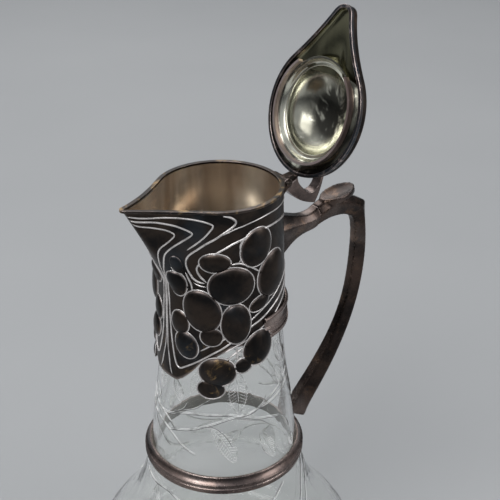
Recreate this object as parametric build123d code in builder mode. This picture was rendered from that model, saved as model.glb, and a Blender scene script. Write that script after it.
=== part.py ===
"""Claret jug: an engraved glass body with a cast metal neck mount, waist collar and handle.

Millimetres. The base's centre is the origin, +Z is up, +X points to the handle and -X to the spout.
The lid is drawn shut, as it sits on the mouth, and is swung open about its pin at the end,
because the jug is shown with its lid leaning back on the handle.
"""
from build123d import *
from math import atan2, cos, degrees, radians, sin, sqrt
import os

# ---------------------------------------------------------------- driving dimensions
# glass
rim_height = 272.0          # top of the mouth above the table
base_radius = 60.0
belly_radius = 81.0
belly_height = 23.0
shoulder_radius = 60.0
shoulder_height = 63.5
waist_radius = 42.6         # glass at the top edge of the waist collar
waist_height = 112.6
waist_lean = (-0.14, 1)     # the glass's run where it leaves the collar
glass_top_depth = 50.0      # from the rim down to the glass's top edge
glass_wall = 3.4
glass_base = 9.0
base_turn = (1, 0.15)       # the glass's run as it leaves the flat base

# neck mount, lining and rim
mouth_radius = 34.0
mount_radius = 34.6         # the mount below its spout
mount_spread = 3.4          # how much wider the mount is at its tongue than below its spout
spout_reach = 59.0          # from the neck's axis to the spout's tip
spout_lift = 2.6            # the rim curves up this much to the spout's tip
spout_depth = 46.0          # the spout starts to swell this far below the rim
spout_tip_radius = 2.4
foot_step = 0.25            # the spout's foot stands this far proud of the round mount
spout_shoulder = 50.0       # angle from -X where the round mouth leaves for the spout
spout_nose = 64.0           # angle that the spout's tip turns through on each side
lift_start = 22.0           # the rim starts to curve up this far in front of the axis
mount_sheet = 0.9
lining_sheet = 0.7
lining_gap = 0.1
throat_length = 12.0        # how far the lining's tube reaches into the glass
throat_gap = 0.3
rim_wire = 1.3
rim_wire_proud = 0.5
front_drop = 103.5          # the mount's front tongue, below the rim
side_drop = 89.0            # the shoulder of the tongue
back_drop = 79.0            # the mount's level lower edge at the sides and back
cement_set_back = 1.5
cement_bed = 0.9            # between the mount and the glass
fit_gap = 0.05              # between pieces that are cemented or soldered together

# belt round the back of the mount's lower edge
belt_radius = 37.2
belt_height = 13.0
belt_half_angle = 84.0
belt_bead = 0.8
belt_roll = 1.4

# waist collar
collar_height = 9.4
collar_radius = 46.9
collar_lip = 2.9            # the top lip stands this far inside the collar's full radius
collar_bead = 0.6
collar_hollow = 3.4         # height of the hollow moulding under the lip
collar_cement_gap = 0.5

# handle
root_drop = 40.5            # centre of the arm's root on the mount, below the rim
root_half_depth = 13.5
root_half_width = 7.5
waist_out = 58.0            # the arm's thinnest place, from the neck's axis
waist_drop = 38.2
waist_half_depth = 5.5
arm_drop = 35.9             # the arm's centre line where the grip wraps its end
arm_half_depth = 5.95
arm_half_width = 5.9
bracket_reach = 66.0        # from the neck's axis to the end of the bracket
elbow_out = 95.2
elbow_drop = 38.9
elbow_half_depth = 7.0
elbow_lean = 59.0           # the elbow's mitre faces this far down from level
grip_out = 98.8             # furthest reach of the grip's centre line
grip_half_depth = 4.2
grip_half_width = 5.8
foot_half_depth = 7.0
foot_half_width = 6.8
foot_sink = 1.2             # the foot runs this far into the collar's circle before it is trimmed
foot_lean = 112.0
pad_half_length = 11.7
pad_half_width = 7.6
pad_out = 81.4
pad_drop = 24.9             # the pad's centre line, below the rim
pad_slope = 11.0
pad_depth = 4.0

# hinge and lid
hinge_out = 41.0
hinge_drop = 7.8
barrel_radius = 3.0
barrel_length = 13.0
moving_knuckle = 4.4
knuckle_gap = 0.2
pin_radius = 1.2
pin_head_radius = 2.0
pin_head_height = 0.8
running_clearance = 0.05
swing_gap = 0.3             # round the middle knuckle, in the fixed leaf
hinge_leaf_drop = 16.8      # lower end of the fixed leaf, below the rim
lid_gap = 0.3
lid_radius = 36.9
lid_shift = 0.15            # the lid's centre, from the neck's axis towards the hinge
lid_reach = 58.6
lid_lift = 3.8              # the lid's edge curves up this much to its tip
lid_tip_radius = 7.7
lid_shoulder = 48.7
lid_nose = 64.0
lid_bead = 1.8
lid_sheet = 0.8
lid_wall_inset = 0.5        # the lid's side wall stands this far inside its edge bead
lid_height = 4.8            # from the lid's underside to its shoulder
dome_radius = 28.5
dome_height = 20.0
dish_radius = 27.0
dish_step_radius = 24.0
dish_step_height = 3.6
dish_height = 15.0
dish_sheet = 0.5
dish_edge = 0.5             # height of the lining's flat flange above the lid's underside
ridge_sink = 8.0            # the beak's ridge turns about a line this far below the lid's underside
ridge_rise = 8.6
bezel_radius = 30.5
bezel_sheet = 1.4
bezel_depth = 2.4
bezel_gap_angle = 80.0      # open part of the bezel and the lining's flange, at the beak
strap_width = 6.4
strap_rise = 19.6           # top of the thumb-piece, above the rim, with the lid shut
strap_out = 51.3            # the thumb-piece's outer face, from the neck's axis
open_angle = 109.0

# ---------------------------------------------------------------- derived places
glass_top = rim_height - glass_top_depth
spout_foot = rim_height - spout_depth
spout_top = rim_height + spout_lift
neck_radius = mount_radius - mount_sheet - cement_bed
throat_radius = neck_radius - glass_wall - throat_gap
collar_top = waist_height
collar_bottom = waist_height - collar_height
hinge_z = rim_height - hinge_drop
lid_bottom = rim_height + lid_gap
wide = 2.5 * spout_reach    # reaches past everything, for cuts
hinge_line = Axis((hinge_out, 0, hinge_z), (0, 1, 0))

spout_steps = [1.0, 0.8, 0.57, 0.28, 0.0]

# the mount's outside below the spout: shares of its fall and of its spread
mount_course = [(0.0, 0.0), (0.31, 0.15), (0.57, 0.3), (0.8, 0.6), (1.07, 1.0), (1.35, 1.53)]
mount_profile = [
    (mount_radius + mount_spread * spread, spout_foot - (front_drop - spout_depth) * fall)
    for fall, spread in mount_course
]


def between(start, end, out, up):
    """The place at a share of the way out and a share of the way up between two places."""
    return (start[0] + (end[0] - start[0]) * out, start[1] + (end[1] - start[1]) * up)


# the glass's outside: belly, shoulder, waist, then the neck, which keeps its bed inside the mount
belly, shoulder = (belly_radius, belly_height), (shoulder_radius, shoulder_height)
waist = (waist_radius, waist_height)
neck_places = [(r - mount_sheet - cement_bed, z) for r, z in mount_profile]
glass_outline = [
    belly,
    between(belly, shoulder, 0.25, 0.5),
    shoulder,
    between(shoulder, waist, 0.563, 0.377),
    between(shoulder, waist, 0.874, 0.784),
    waist,
    between(waist, neck_places[4], 0.31, 0.37),
    neck_places[4],
    neck_places[2],
    (neck_radius, glass_top),
]
waist_place = glass_outline.index(waist)


def inset(points, wall):
    """The same outline, moved square to itself by the wall."""
    moved = []
    for i, (r, z) in enumerate(points):
        r0, z0 = points[max(i - 1, 0)]
        r1, z1 = points[min(i + 1, len(points) - 1)]
        run = sqrt((r1 - r0) ** 2 + (z1 - z0) ** 2)
        moved.append((r - wall * (z1 - z0) / run, z + wall * (r1 - r0) / run))
    return moved[:-1] + [(points[-1][0] - wall, points[-1][1])]


def glass_low(inward):
    """The glass's side from the belly to the waist, moved in by inward: call inside BuildLine."""
    points = inset(glass_outline, inward)
    return Spline(*points[:waist_place + 1], tangents=[(0, 1), waist_lean])


def glass_high(inward):
    """The glass's side from the waist to its top, moved in by inward: call inside BuildLine."""
    points = inset(glass_outline, inward)
    return Spline(*points[waist_place:], tangents=[waist_lean, (0, 1)])


def radial_plane(angle):
    """Upright plane through the neck's axis, its x running out at an angle from the handle."""
    a = radians(angle)
    return Plane(origin=(0, 0, 0), x_dir=(cos(a), sin(a), 0), z_dir=(sin(a), -cos(a), 0))


def mouth_outline(radius, reach, tip_radius, shoulder, nose, shift=0.0):
    """Round at the back, drawn out to a spout at -X: call inside BuildLine."""
    a, b = radians(shoulder), radians(nose)
    centre = tip_radius - reach
    left = (shift - radius * cos(a), radius * sin(a))
    left_tip = (centre - tip_radius * cos(b), tip_radius * sin(b))
    right, right_tip = (left[0], -left[1]), (left_tip[0], -left_tip[1])
    leaving, arriving = (-sin(a), -cos(a)), (-sin(b), -cos(b))
    ThreePointArc(right, (shift + radius, 0), left)
    Spline(left, left_tip, tangents=[leaving, arriving])
    ThreePointArc(left_tip, (-reach, 0), right_tip)
    Spline(right_tip, right, tangents=[(-arriving[0], arriving[1]), (-leaving[0], leaving[1])])


def spout_section(t, inward):
    """The spout's outline at t, from 0 at its tip to 1 at its foot, moved in by inward."""
    foot = mount_radius + foot_step
    radius = mouth_radius + (foot - mouth_radius) * t
    reach = radius + (spout_reach - mouth_radius) * (1 - t) ** 1.1
    tip = spout_tip_radius + (foot - spout_tip_radius) * t ** 3.2
    shoulder, nose = spout_shoulder * (1 - t / 2), spout_nose * (1 - 0.84 * t ** 1.5)
    mouth_outline(radius - inward, reach - inward, tip - inward, shoulder, nose)


def spout_faces(inward):
    """Sections through the mouth and spout from the foot up, moved in by inward."""
    faces = []
    for t in spout_steps:
        with BuildSketch(Plane.XY.offset(spout_top + (spout_foot - spout_top) * t)) as section:
            with BuildLine():
                spout_section(t, inward)
            make_face()
        faces.append(section.sketch.face())
    return faces


def layer(bottom, top, lift):
    """Side view of the layer between two heights, curving up by lift towards the spout's tip."""
    far = -spout_reach - lid_tip_radius
    slope = -2 * lift / (far + lift_start)
    with BuildSketch(Plane.XZ) as side:
        with BuildLine():
            lower = Line((wide, bottom), (-lift_start, bottom))
            lower_curve = Spline(lower @ 1, (far, bottom + lift), tangents=[(-1, 0), (-1, slope)])
            end = Line(lower_curve @ 1, (far, top + lift))
            upper_curve = Spline(end @ 1, (-lift_start, top), tangents=[(1, -slope), (1, 0)])
            upper = Line(upper_curve @ 1, (wide, top))
            Line(upper @ 1, lower @ 0)
        make_face()
    return side.sketch.face()


def mount_half(inward):
    """Half section of the mount below the spout, filled to the axis and moved in by inward."""
    moved = [(r - inward, z) for r, z in mount_profile]
    (r0, z0), (r1, z1) = moved[-2:]
    with BuildSketch(Plane.XZ) as half:
        with BuildLine():
            curve = Spline(*moved, tangents=[(0, -1), (r1 - r0, z1 - z0)])
            low = Line(curve @ 1, (0, z1))
            up = Line(low @ 1, (0, moved[0][1]))
            Line(up @ 1, curve @ 0)
        make_face()
    return half.sketch.face()


def below_edge(up):
    """Side view of what lies under the mount's lower edge: level, then a tongue at the spout."""
    low = rim_height - wide
    with BuildSketch(Plane.XZ) as under:
        with BuildLine():
            edge = Polyline(
                (wide, rim_height - back_drop + up),
                (-0.45 * mount_radius, rim_height - back_drop + up),
                (-0.82 * mount_radius, rim_height - side_drop + up),
                (-mount_radius, rim_height - front_drop + up),
                (-wide, rim_height - front_drop + up),
            )
            Polyline(edge @ 1, (-wide, low), (wide, low), edge @ 0)
        make_face()
    return under.sketch.face()


# ---------------------------------------------------------------- glass body
with BuildPart() as glass_body:
    with BuildSketch(Plane.XZ):
        for wall, bottom, mode in ((0, 0, Mode.ADD), (glass_wall, glass_base, Mode.SUBTRACT)):
            with BuildLine():
                low, high = glass_low(wall), glass_high(wall)
                base = Line((0, bottom), (base_radius - wall, bottom))
                Spline(base @ 1, low @ 0, tangents=[base_turn, (0, 1)])
                top = Line(high @ 1, (0, glass_top))
                Line(top @ 1, base @ 0)
            make_face(mode=mode)
    revolve(axis=Axis.Z)
glass_body.part.label = "glass_body"


# ---------------------------------------------------------------- neck mount
below_rim_wire = layer(rim_height - wide, rim_height - rim_wire, spout_lift)

# the grapes in relief on each side: angle from the handle, drop below the rim, half length,
# half width, tilt from level and rise
grapes = [
    (245.6, 42.3, 12.6, 10.7, 0, 3.2), (219.0, 57.3, 12.4, 10.4, 112, 3.0),
    (248.9, 64.9, 11.7, 8.1, 90, 3.4), (287.5, 41.1, 13.2, 10.6, 68, 3.2),
    (269.6, 22.4, 11.0, 9.4, 60, 2.6), (231.5, 28.6, 8.4, 5.2, 0, 1.9),
    (271.8, 55.6, 6.8, 3.8, 22, 1.8), (196.0, 43.3, 7.4, 6.0, 100, 2.4),
    (203.7, 79.6, 8.0, 6.8, 120, 2.6), (197.3, 67.0, 6.8, 5.9, 90, 1.8),
    (227.2, 72.4, 6.0, 5.3, 0, 2.0), (231.9, 93.3, 9.7, 8.4, 0, 3.2),
    (226.4, 103.8, 7.0, 5.5, 0, 2.2), (268.8, 81.8, 10.4, 8.6, 60, 3.2),
    (254.1, 90.3, 4.9, 4.1, 30, 2.0),
]
grape_share = 0.86          # the cast grape, as a share of the grape with its outline

with BuildPart() as mount_outside:
    loft(spout_faces(0))
    revolve(mount_half(0), axis=Axis.Z)


def mount_seat(angle, drop):
    """The place on the mount's outside at an angle and a drop below the rim, and which way it faces."""
    a = radians(angle)
    start, out = Vector(0, 0, rim_height - drop), Vector(cos(a), sin(a), 0)
    hits = mount_outside.part.find_intersection_points(Axis(start, out))
    place, facing = max(hits, key=lambda hit: (hit[0] - start).dot(out))
    return place, facing if facing.dot(out) > 0 else -facing


def grape_half(angle, drop, half_length, half_width, tilt, rise):
    """Half section of a grape, sunk so that its rise stands proud, and the line it turns about."""
    place, facing = mount_seat(angle, drop)
    ball = (half_width ** 2 + rise ** 2) / (2 * rise)
    up = (Vector(0, 0, 1) - facing * facing.Z).normalized()
    t = radians(tilt)
    lean = up.cross(facing) * cos(t) + up * sin(t)
    centre = place - facing * (ball - rise)
    with BuildSketch(Plane(origin=centre, x_dir=lean, z_dir=facing.cross(lean))) as half:
        Ellipse(half_length * ball / half_width, ball)
        with Locations((0, -ball)):
            Rectangle(wide, 2 * ball, mode=Mode.SUBTRACT)
    return half.sketch.face(), Axis(centre, lean)


with BuildPart() as neck_mount:
    add(mount_outside.part)
    extrude(below_edge(0), amount=wide, both=True, mode=Mode.SUBTRACT)
    for angle, drop, half_length, half_width, tilt, rise in grapes:
        length, width = grape_share * half_length, grape_share * half_width
        for side, turned in ((1, tilt), (-1, 180 - tilt)):
            half, line = grape_half(side * angle, drop, length, width, turned, grape_share * rise)
            revolve(half, axis=line)
    extrude(below_rim_wire, amount=wide, both=True, mode=Mode.INTERSECT)
    loft(spout_faces(mount_sheet), mode=Mode.SUBTRACT)
    revolve(mount_half(mount_sheet), axis=Axis.Z, mode=Mode.SUBTRACT)
neck_mount.part.label = "neck_mount"


# ---------------------------------------------------------------- mouth lining
with BuildPart() as mouth_lining:
    lining_inset = mount_sheet + lining_gap
    loft(spout_faces(lining_inset))
    foot_radius = mount_radius - lining_inset
    with BuildSketch(Plane.XZ):
        with BuildLine():
            Polyline(
                (0, spout_foot),
                (foot_radius, spout_foot),
                (foot_radius, spout_foot - 1),
                (throat_radius, glass_top + throat_gap),
                (throat_radius, glass_top - throat_length),
                (0, glass_top - throat_length),
                close=True,
            )
        make_face()
    revolve(axis=Axis.Z)
    loft(spout_faces(lining_inset + lining_sheet), mode=Mode.SUBTRACT)
    with BuildSketch(Plane.XZ):
        with BuildLine():
            Polyline(
                (0, spout_foot),
                (foot_radius - lining_sheet, spout_foot),
                (foot_radius - lining_sheet, spout_foot - 1 + lining_sheet),
                (throat_radius - lining_sheet, glass_top + throat_gap + lining_sheet),
                (throat_radius - lining_sheet, glass_top - throat_length),
                (0, glass_top - throat_length),
                close=True,
            )
        make_face()
    revolve(axis=Axis.Z, mode=Mode.SUBTRACT)
    extrude(below_rim_wire, amount=wide, both=True, mode=Mode.INTERSECT)
mouth_lining.part.label = "mouth_lining"


# ---------------------------------------------------------------- mouth rim wire
with BuildPart() as mouth_rim_wire:
    wire_inset = mount_sheet + lining_gap + lining_sheet
    with BuildSketch(Plane.XY.offset(rim_height - wide)):
        for inset_by, mode in ((-rim_wire_proud, Mode.ADD), (wire_inset, Mode.SUBTRACT)):
            with BuildLine():
                spout_section(0, inset_by)
            make_face(mode=mode)
    extrude(amount=2 * wide)
    extrude(layer(rim_height - rim_wire, rim_height, spout_lift), amount=wide, both=True, mode=Mode.INTERSECT)
mouth_rim_wire.part.label = "mouth_rim_wire"


# ---------------------------------------------------------------- neck cement
with BuildPart() as neck_cement:
    revolve(mount_half(mount_sheet + fit_gap), axis=Axis.Z)
    with BuildSketch(Plane.XY.offset(glass_top)):
        Circle(wide)
    extrude(amount=wide, mode=Mode.SUBTRACT)
    extrude(below_edge(cement_set_back), amount=wide, both=True, mode=Mode.SUBTRACT)
    with BuildSketch(Plane.XZ):
        with BuildLine():
            high = glass_high(-fit_gap)
            over = Line(high @ 1, (0, glass_top))
            down = Line(over @ 1, (0, (high @ 0).Y))
            Line(down @ 1, high @ 0)
        make_face()
    revolve(axis=Axis.Z, mode=Mode.SUBTRACT)
neck_cement.part.label = "neck_cement"


# ---------------------------------------------------------------- belt
with BuildPart() as mount_belt:
    belt_bottom = rim_height - back_drop
    channel = belt_radius - 1.5 * belt_bead
    with BuildSketch(radial_plane(-belt_half_angle)):
        with Locations((mount_radius, belt_bottom)):
            Rectangle(channel - mount_radius, belt_height - belt_roll, align=(Align.MIN, Align.MIN))
            Rectangle(belt_radius - mount_radius, 2 * belt_bead, align=(Align.MIN, Align.MIN))
        with Locations(*[(channel, belt_bottom + belt_bead * turn) for turn in (4.2, 7.2)]):
            Circle(belt_bead)
        with Locations((belt_radius - belt_roll, belt_bottom + belt_height - belt_roll)):
            Circle(belt_roll)
    revolve(axis=Axis.Z, revolution_arc=2 * belt_half_angle)
    revolve(mount_half(-fit_gap), axis=Axis.Z, mode=Mode.SUBTRACT)
    add(neck_mount.part, mode=Mode.SUBTRACT)
mount_belt.part.label = "mount_belt"


# ---------------------------------------------------------------- waist collar
collar_face = collar_radius - collar_bead
collar_inner_top = waist_radius + collar_cement_gap
collar_inner_bottom = waist_radius + collar_cement_gap + 0.21 * collar_height

with BuildPart() as waist_collar:
    with BuildSketch(Plane.XZ):
        with BuildLine():
            lip = Line((collar_inner_top, collar_top), (collar_radius - collar_lip, collar_top))
            hollow = RadiusArc(lip @ 1, (collar_face, collar_top - collar_hollow), -1.6 * collar_hollow)
            Polyline(
                hollow @ 1,
                (collar_face, collar_bottom),
                (collar_inner_bottom, collar_bottom),
                lip @ 0,
            )
        make_face()
        with Locations(*[(collar_face, collar_top - collar_hollow - step) for step in (0.6, 3.5)]):
            Circle(collar_bead)
    revolve(axis=Axis.Z)
waist_collar.part.label = "waist_collar"

with BuildPart() as collar_cement:
    with BuildSketch(Plane.XZ):
        with BuildLine():
            Polyline(
                (0, collar_top - fit_gap),
                (collar_inner_top - fit_gap, collar_top - fit_gap),
                (collar_inner_bottom - fit_gap, collar_bottom + fit_gap),
                (0, collar_bottom + fit_gap),
                close=True,
            )
        make_face()
    revolve(axis=Axis.Z)
    with BuildSketch(Plane.XZ):
        with BuildLine():
            low = glass_low(-fit_gap)
            over = Line(low @ 1, (0, (low @ 1).Y))
            down = Line(over @ 1, (0, (low @ 0).Y))
            Line(down @ 1, low @ 0)
        make_face()
    revolve(axis=Axis.Z, mode=Mode.SUBTRACT)
collar_cement.part.label = "collar_cement"


# ---------------------------------------------------------------- handle
def handle_section(out, height, lean, half_depth, half_width):
    """Six-sided section of the handle, square to a line leaning down from level by lean."""
    a = radians(lean)
    d, w = half_depth, half_width
    across = Plane(origin=(out, 0, height), x_dir=(0, 1, 0), z_dir=(cos(a), 0, -sin(a)))
    with BuildSketch(across) as section:
        with BuildLine():
            Polyline(
                (-0.45 * w, -d), (0.45 * w, -d), (w, 0.35 * d),
                (0.5 * w, d), (-0.5 * w, d), (-w, 0.35 * d), close=True,
            )
        make_face()
    return section.sketch.face()


arm_end = handle_section(bracket_reach, rim_height - arm_drop, 0, arm_half_depth, arm_half_width)

with BuildPart() as handle_bracket:
    root_out = mount_radius - root_half_width / 2
    arm_sections = []
    for t, flare in ((0.0, 0.0), (0.48, 0.38), (0.78, 0.86), (1.0, 1.0)):
        arm_sections.append(handle_section(
            root_out + (waist_out - root_out) * t,
            rim_height - root_drop + (root_drop - waist_drop) * flare,
            0,
            root_half_depth + (waist_half_depth - root_half_depth) * flare,
            root_half_width + (arm_half_width - root_half_width) * flare,
        ))
    loft(arm_sections + [arm_end])
    revolve(mount_half(-fit_gap), axis=Axis.Z, mode=Mode.SUBTRACT)
    with BuildSketch(Plane.XY.offset(spout_foot)):
        Circle(mount_radius + foot_step + fit_gap)
    extrude(amount=spout_depth, mode=Mode.SUBTRACT)
handle_bracket.part.label = "handle_bracket"

# the arm under the pad: share of its way to the elbow, rise, lean and share of its depth
arm_course = [(0.25, 2.2, 0, 1.04), (0.53, 2.7, 4, 1.08), (0.79, 0.7, 18, 1.0)]
# the grip's centre line: share of its fall from the elbow to the foot, and of its reach
grip_course = [
    (0.05, 0.97), (0.2, 1.0), (0.38, 0.946), (0.54, 0.818), (0.69, 0.61), (0.83, 0.341), (0.915, 0.15),
]
elbow_z = rim_height - elbow_drop
foot_out = collar_radius + foot_half_depth - foot_sink
foot_z = collar_bottom + foot_sink

with BuildPart() as handle_grip:
    elbow = handle_section(elbow_out, elbow_z, elbow_lean, elbow_half_depth, grip_half_width)
    under_pad = [
        handle_section(
            bracket_reach + (elbow_out - bracket_reach) * share, rim_height - arm_drop + rise,
            lean, arm_half_depth * depth, arm_half_width,
        )
        for share, rise, lean, depth in arm_course
    ]
    loft([arm_end] + under_pad + [elbow])

    centres = [(elbow_out, elbow_z)]
    for fall, reach in grip_course:
        centres.append((foot_out + (grip_out - foot_out) * reach, elbow_z + (foot_z - elbow_z) * fall))
    centres.append((foot_out, foot_z))
    grip_sections = [elbow]
    for (x0, z0), (x, z), (x1, z1) in zip(centres, centres[1:], centres[2:]):
        widening = max(0.0, (elbow_z - z) / (elbow_z - foot_z) - 0.6) / 0.4
        grip_sections.append(handle_section(
            x,
            z,
            degrees(atan2(z0 - z1, x1 - x0)),
            grip_half_depth + (foot_half_depth - grip_half_depth) * widening,
            grip_half_width + (foot_half_width - grip_half_width) * widening,
        ))
    grip_sections.append(handle_section(foot_out, foot_z, foot_lean, foot_half_depth, foot_half_width))
    loft(grip_sections)

    slope = radians(pad_slope)
    pad_plane = Plane(
        origin=(pad_out, 0, rim_height - pad_drop),
        x_dir=(cos(slope), 0, sin(slope)),
        z_dir=(sin(slope), 0, -cos(slope)),
    )
    with BuildSketch(pad_plane):
        Ellipse(pad_half_length, pad_half_width)
    extrude(amount=pad_depth)

    with BuildSketch(Plane.XY.offset(collar_bottom - wide)):
        Circle(collar_radius)
    extrude(amount=wide + collar_height, mode=Mode.SUBTRACT)
handle_grip.part.label = "handle_grip"


# ---------------------------------------------------------------- hinge, fixed side
def round_face(radius):
    """A circle on the hinge pin's line, in the plane that halves the jug."""
    with BuildSketch(Plane.XZ) as face:
        with Locations((hinge_out, hinge_z)):
            Circle(radius)
    return face.sketch.face()


with BuildPart() as hinge_bracket:
    with BuildSketch(Plane.XZ):
        with BuildLine():
            Polyline(
                (mouth_radius - barrel_radius, hinge_z + barrel_radius / 3),
                (hinge_out, hinge_z + barrel_radius / 3),
                (hinge_out, hinge_z - barrel_radius),
                (mount_radius, rim_height - hinge_leaf_drop),
                (mouth_radius - barrel_radius, rim_height - hinge_leaf_drop),
                close=True,
            )
        make_face()
    extrude(amount=barrel_length / 2, both=True)
    extrude(round_face(barrel_radius), amount=barrel_length / 2, both=True)
    extrude(round_face(pin_radius), amount=barrel_length, both=True, mode=Mode.SUBTRACT)
    middle = moving_knuckle / 2 + knuckle_gap
    extrude(round_face(barrel_radius + swing_gap), amount=middle, both=True, mode=Mode.SUBTRACT)
    with BuildSketch(Plane.XY.offset(rim_height - wide)):
        Circle(mount_radius + fit_gap)
    extrude(amount=2 * wide, mode=Mode.SUBTRACT)
hinge_bracket.part.label = "hinge_bracket"

with BuildPart() as hinge_pin:
    pin_half = barrel_length / 2
    extrude(round_face(pin_radius), amount=pin_half, both=True)
    for end in (-1, 1):
        head = Plane(origin=(hinge_out, end * pin_half, hinge_z), x_dir=(1, 0, 0), z_dir=(0, end, 0))
        with BuildSketch(head):
            Circle(pin_head_radius)
        extrude(amount=pin_head_height, taper=45)
hinge_pin.part.label = "hinge_pin"


# ---------------------------------------------------------------- lid, drawn shut
def lid_face(inward):
    """The lid's outline, moved in by inward."""
    with BuildSketch(Plane.XY.offset(lid_bottom)) as outline:
        with BuildLine():
            mouth_outline(
                lid_radius - inward, lid_reach - inward, lid_tip_radius - inward,
                lid_shoulder, lid_nose, lid_shift,
            )
        make_face()
    return outline.sketch.face()


def dome_half(inward):
    """Half section of the raised dome, filled to the axis and moved in by inward."""
    radius, top = dome_radius - inward, lid_bottom + dome_height - inward
    with BuildSketch(Plane.XZ) as half:
        with BuildLine():
            crown = Spline(
                (radius, lid_bottom + lid_height / 2),
                (0.72 * radius, lid_bottom + 0.68 * dome_height - inward),
                (0, top),
                tangents=[(0, 1), (-1, 0)],
            )
            axis = Line(crown @ 1, (0, lid_bottom + lid_height / 2))
            Line(axis @ 1, crown @ 0)
        make_face()
    return half.sketch.face()


def ridge_half(inward):
    """Half section of the beak's rounded ridge, filled to its line and moved in by inward."""
    line_z = lid_bottom - ridge_sink
    tall = ridge_sink + ridge_rise - inward
    with BuildSketch(Plane.XZ) as half:
        with BuildLine():
            back = Line((0, line_z), (0, line_z + tall))
            crest = Spline(
                back @ 1,
                (-dome_radius, line_z + tall),
                (-lid_reach + lid_tip_radius, line_z + ridge_sink + lid_lift - inward),
                tangents=[(-1, 0), (-1, -0.35)],
            )
            front = Line(crest @ 1, (-lid_reach + lid_tip_radius, line_z))
            Line(front @ 1, back @ 0)
        make_face()
    return half.sketch.face()


ridge_line = Axis((0, 0, lid_bottom - ridge_sink), (1, 0, 0))


def lid_form(inward):
    """The lid's raised form as a solid on its underside, moved in by inward."""
    outline = lid_face(lid_wall_inset + inward)
    with BuildPart() as ridge:
        revolve(ridge_half(inward), axis=ridge_line)
        extrude(outline, amount=wide, mode=Mode.INTERSECT)
    raised = layer(lid_bottom, lid_bottom + lid_height - inward, lid_lift)
    with BuildPart() as form:
        extrude(outline, amount=wide)
        extrude(raised, amount=wide, both=True, mode=Mode.INTERSECT)
        revolve(dome_half(inward), axis=Axis.Z)
        add(ridge.part)
    return form.part


lid_outside, lid_inside = lid_form(0), lid_form(lid_sheet)

with BuildPart() as lid_shell:
    add(lid_outside)
    above_bead = layer(lid_bottom + lid_bead, lid_bottom + wide, lid_lift)
    extrude(above_bead, amount=wide, both=True, mode=Mode.INTERSECT)
    add(lid_inside, mode=Mode.SUBTRACT)
lid_shell.part = lid_shell.part.rotate(hinge_line, open_angle)
lid_shell.part.label = "lid_shell"


with BuildPart() as lid_rim_wire:
    extrude(lid_face(0), amount=wide)
    extrude(lid_face(lid_bead), amount=wide, mode=Mode.SUBTRACT)
    bead_layer = layer(lid_bottom, lid_bottom + lid_bead, lid_lift)
    extrude(bead_layer, amount=wide, both=True, mode=Mode.INTERSECT)
lid_rim_wire.part = lid_rim_wire.part.rotate(hinge_line, open_angle)
lid_rim_wire.part.label = "lid_rim_wire"


# the bright dish inside the dome, and its flat flange out to the lid's edge bead
flange_z = lid_bottom + dish_edge
ring_start = radial_plane(180 + bezel_gap_angle / 2)
ring_turn = 360 - bezel_gap_angle


def dish_half(grow):
    """Half section of the dish's hollow, filled to the axis and grown by the sheet."""
    step = 0.7
    with BuildSketch(Plane.XZ) as half:
        with BuildLine():
            edge = Polyline(
                (0, flange_z),
                (dish_radius + grow, flange_z),
                (dish_radius - step + grow, flange_z + dish_step_height - step + grow),
                (dish_step_radius + grow, flange_z + dish_step_height + grow),
                (dish_step_radius - step + grow, flange_z + dish_step_height + step + grow),
            )
            bowl = Spline(
                edge @ 1,
                (0.66 * dish_step_radius, flange_z + 0.74 * dish_height + grow),
                (0, flange_z + dish_height + grow),
                tangents=[(-0.3, 1), (-1, 0)],
            )
            Line(bowl @ 1, edge @ 0)
        make_face()
    return half.sketch.face()


with BuildPart() as lid_lining:
    with BuildSketch(ring_start):
        with Locations((dish_radius, flange_z)):
            Rectangle(lid_radius - dish_radius, dish_sheet, align=(Align.MIN, Align.MIN))
    revolve(axis=Axis.Z, revolution_arc=ring_turn)
    extrude(lid_face(lid_bead + fit_gap), amount=wide, mode=Mode.INTERSECT)
    with BuildSketch(Plane.XZ):
        with Locations((dish_radius, flange_z)):
            Rectangle(2 * dish_sheet, dish_sheet, align=(Align.MIN, Align.MIN))
    revolve(axis=Axis.Z)
    revolve(dish_half(dish_sheet), axis=Axis.Z)
    revolve(dish_half(0), axis=Axis.Z, mode=Mode.SUBTRACT)
lid_lining.part = lid_lining.part.rotate(hinge_line, open_angle)
lid_lining.part.label = "lid_lining"


with BuildPart() as lid_bezel:
    with BuildSketch(ring_start):
        with Locations((bezel_radius, flange_z)):
            Rectangle(bezel_sheet, dish_edge + bezel_depth, align=(Align.MAX, Align.MAX))
    revolve(axis=Axis.Z, revolution_arc=ring_turn)
lid_bezel.part = lid_bezel.part.rotate(hinge_line, open_angle)
lid_bezel.part.label = "lid_bezel"


# ---------------------------------------------------------------- thumb-piece and moving knuckle
# the thumb-piece's side in three edges, as shares of its reach and of its rise from the pin
strap_outer = [(0.35, 0.07), (0.72, 0.32), (0.93, 0.54), (1.0, 0.745), (0.99, 0.96)]
strap_top = [(0.99, 0.96), (0.5, 0.995), (-0.45, 1.0), (-1.36, 0.95), (-2.1, 0.8)]
strap_inner = [
    (-1.9, 0.68), (-1.4, 0.815), (-0.75, 0.91), (-0.09, 0.934), (0.34, 0.854), (0.456, 0.745),
    (0.417, 0.664), (0.29, 0.566), (0.165, 0.482), (-0.02, 0.387), (-0.27, 0.321),
]


def strap_face():
    """Side view of the thumb-piece: up from the knuckle to a corner, then back onto the dome."""
    pin, corner = (hinge_out, hinge_z), (strap_out, rim_height + strap_rise)
    with BuildSketch(Plane.XZ) as side:
        with BuildLine():
            for course in (strap_outer, strap_top, strap_inner):
                Spline(*[between(pin, corner, out, up) for out, up in course])
            Line(between(pin, corner, *strap_top[-1]), between(pin, corner, *strap_inner[0]))
            Line(between(pin, corner, *strap_inner[-1]), between(pin, corner, *strap_outer[0]))
        make_face()
    return side.sketch.face()


strap_side = strap_face()

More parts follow.
